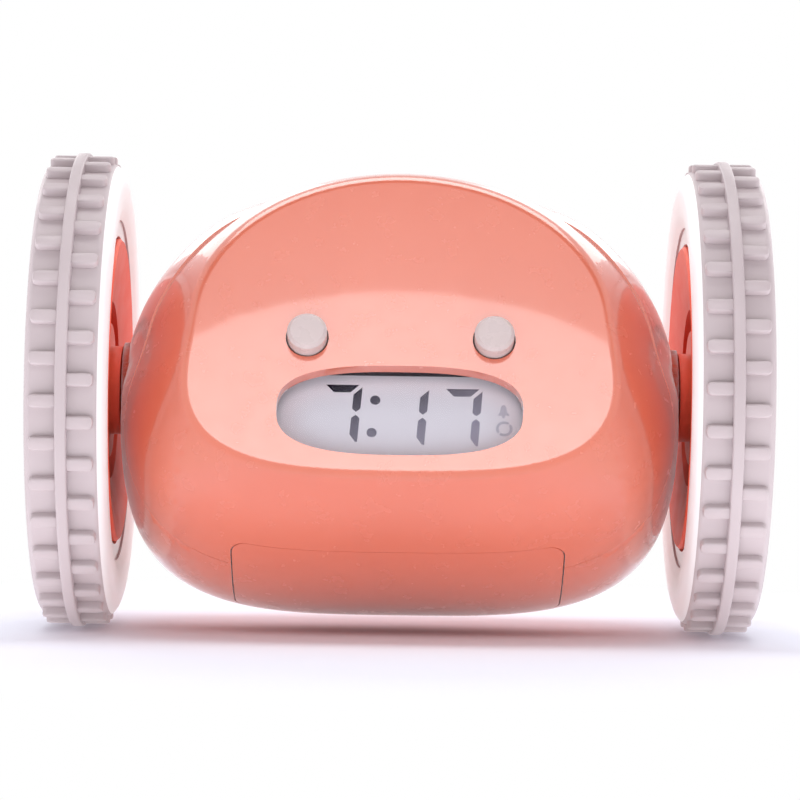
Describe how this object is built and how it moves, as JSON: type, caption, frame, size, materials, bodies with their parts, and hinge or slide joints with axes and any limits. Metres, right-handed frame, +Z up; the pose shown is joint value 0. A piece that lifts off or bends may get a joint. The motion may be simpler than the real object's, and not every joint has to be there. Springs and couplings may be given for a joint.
{
  "type": "runaway alarm clock",
  "caption": "Alarm clock with an egg-shaped body hung between two driven wheels, a tilted face with buttons and display, and a battery door underneath.",
  "frame": {"origin": "middle of the common wheel axle, which is also the middle of the whole clock's box", "axes": "+Z up, -Y towards the side with the display, +X along the wheel axle to the right of someone who reads the display; the wheels stand on Z = -0.0445 m"},
  "size_m": [0.133, 0.089, 0.089],
  "materials": {
    "shell_coral": "glossy moulded coral",
    "trim_coral": "satin coral",
    "button_white": "glossy white",
    "tyre_white": "soft white rubber",
    "disc_white": "satin white",
    "window_clear": "clear",
    "display_glass": "grey liquid crystal",
    "inner_plastic": "matte dark grey",
    "box_plastic": "matte coral",
    "board": "green laminate",
    "chip": "black epoxy",
    "connector_rubber": "zebra strip",
    "cell_jacket": "printed jacket, left plain",
    "motor_can": "plated can",
    "gear_white": "natural acetal",
    "steel": "plain",
    "brass": "plain",
    "spring_steel": "nickel plated"
  },
  "bodies": {
    "clock_body": {"front_shell": "shell_coral", "rear_shell": "shell_coral", "battery_box": "box_plastic", "shell_screws": "steel", "display_window": "window_clear", "display_glass": "display_glass", "display_holder": "inner_plastic", "display_connector": "connector_rubber", "main_board": "board", "controller_chip": "chip", "snooze_board": "board", "tact_switches": "inner_plastic", "cell_1": "cell_jacket", "cell_2": "cell_jacket", "cell_3": "cell_jacket", "cell_4": "cell_jacket", "contact_springs": "spring_steel", "contact_plates": "spring_steel", "sounder": "inner_plastic", "small_screws": "steel", "gear_pins": "steel", "axle_bushings": "brass", "left_motor": "motor_can", "left_gearbox_base": "gear_white", "left_gearbox_cover": "gear_white", "right_motor": "motor_can", "right_gearbox_base": "gear_white", "right_gearbox_cover": "gear_white"},
    "battery_door": {"battery_door": "shell_coral"},
    "snooze": {"snooze_button": "button_white", "snooze_switch_plunger": "inner_plastic"},
    "left_button": {"left_face_button": "button_white", "left_switch_plunger": "inner_plastic"},
    "left_wheel": {"left_tyre": "tyre_white", "left_wheel_disc": "disc_white", "left_trim_ring": "trim_coral", "left_hub": "trim_coral", "left_hub_cap": "disc_white", "left_hub_screw": "steel", "left_axle": "steel", "left_output_gear": "gear_white"},
    "left_second_gear": {"left_second_gear": "gear_white"},
    "left_first_gear": {"left_first_gear": "gear_white"},
    "left_motor_rotor": {"left_motor_shaft": "steel", "left_motor_pinion": "brass"},
    "right_button": {"right_face_button": "button_white", "right_switch_plunger": "inner_plastic"},
    "right_wheel": {"right_tyre": "tyre_white", "right_wheel_disc": "disc_white", "right_trim_ring": "trim_coral", "right_hub": "trim_coral", "right_hub_cap": "disc_white", "right_hub_screw": "steel", "right_axle": "steel", "right_output_gear": "gear_white"},
    "right_second_gear": {"right_second_gear": "gear_white"},
    "right_first_gear": {"right_first_gear": "gear_white"},
    "right_motor_rotor": {"right_motor_shaft": "steel", "right_motor_pinion": "brass"}
  },
  "joints": [
    {"name": "left_wheel_spin", "type": "hinge", "parent": "clock_body", "child": "left_wheel", "pos_m": [-0.0597, 0, 0], "axis": [1, 0, 0], "continuous": true},
    {"name": "left_second_gear_spin", "type": "hinge", "parent": "clock_body", "child": "left_second_gear", "pos_m": [-0.0347, 0.00949, 0.0065], "axis": [1, 0, 0], "continuous": true},
    {"name": "left_first_gear_spin", "type": "hinge", "parent": "clock_body", "child": "left_first_gear", "pos_m": [-0.0319, 0.01875, -0.00033], "axis": [1, 0, 0], "continuous": true},
    {"name": "left_motor_rotor_spin", "type": "hinge", "parent": "clock_body", "child": "left_motor_rotor", "pos_m": [-0.0319, 0.01449, -0.01101], "axis": [1, 0, 0], "continuous": true},
    {"name": "left_button_press", "type": "slide", "parent": "clock_body", "child": "left_button", "axis": [0, 0.8942, -0.4478], "range_m": [0, 0.0006], "stiffness_N_per_m": 600},
    {"name": "right_wheel_spin", "type": "hinge", "parent": "clock_body", "child": "right_wheel", "pos_m": [0.0597, 0, 0], "axis": [1, 0, 0], "continuous": true},
    {"name": "right_second_gear_spin", "type": "hinge", "parent": "clock_body", "child": "right_second_gear", "pos_m": [0.0347, 0.00949, 0.0065], "axis": [1, 0, 0], "continuous": true},
    {"name": "right_first_gear_spin", "type": "hinge", "parent": "clock_body", "child": "right_first_gear", "pos_m": [0.0319, 0.01875, -0.00033], "axis": [1, 0, 0], "continuous": true},
    {"name": "right_motor_rotor_spin", "type": "hinge", "parent": "clock_body", "child": "right_motor_rotor", "pos_m": [0.0319, 0.01449, -0.01101], "axis": [1, 0, 0], "continuous": true},
    {"name": "right_button_press", "type": "slide", "parent": "clock_body", "child": "right_button", "axis": [0, 0.8942, -0.4478], "range_m": [0, 0.0006], "stiffness_N_per_m": 600},
    {"name": "snooze_press", "type": "slide", "parent": "clock_body", "child": "snooze", "axis": [0, -0.4695, -0.8829], "range_m": [0, 0.0006], "stiffness_N_per_m": 600},
    {"name": "battery_door_hinge", "type": "hinge", "parent": "clock_body", "child": "battery_door", "pos_m": [0, -0.00434, -0.04127], "axis": [1, 0, 0], "range_deg": [0, 40]}
  ],
  "couplings": [
    {"joint": "left_second_gear_spin", "follows": "left_wheel_spin", "ratio": -3.6},
    {"joint": "left_first_gear_spin", "follows": "left_wheel_spin", "ratio": 12.96},
    {"joint": "left_motor_rotor_spin", "follows": "left_wheel_spin", "ratio": -46.656},
    {"joint": "right_second_gear_spin", "follows": "right_wheel_spin", "ratio": -3.6},
    {"joint": "right_first_gear_spin", "follows": "right_wheel_spin", "ratio": 12.96},
    {"joint": "right_motor_rotor_spin", "follows": "right_wheel_spin", "ratio": -46.656}
  ]
}
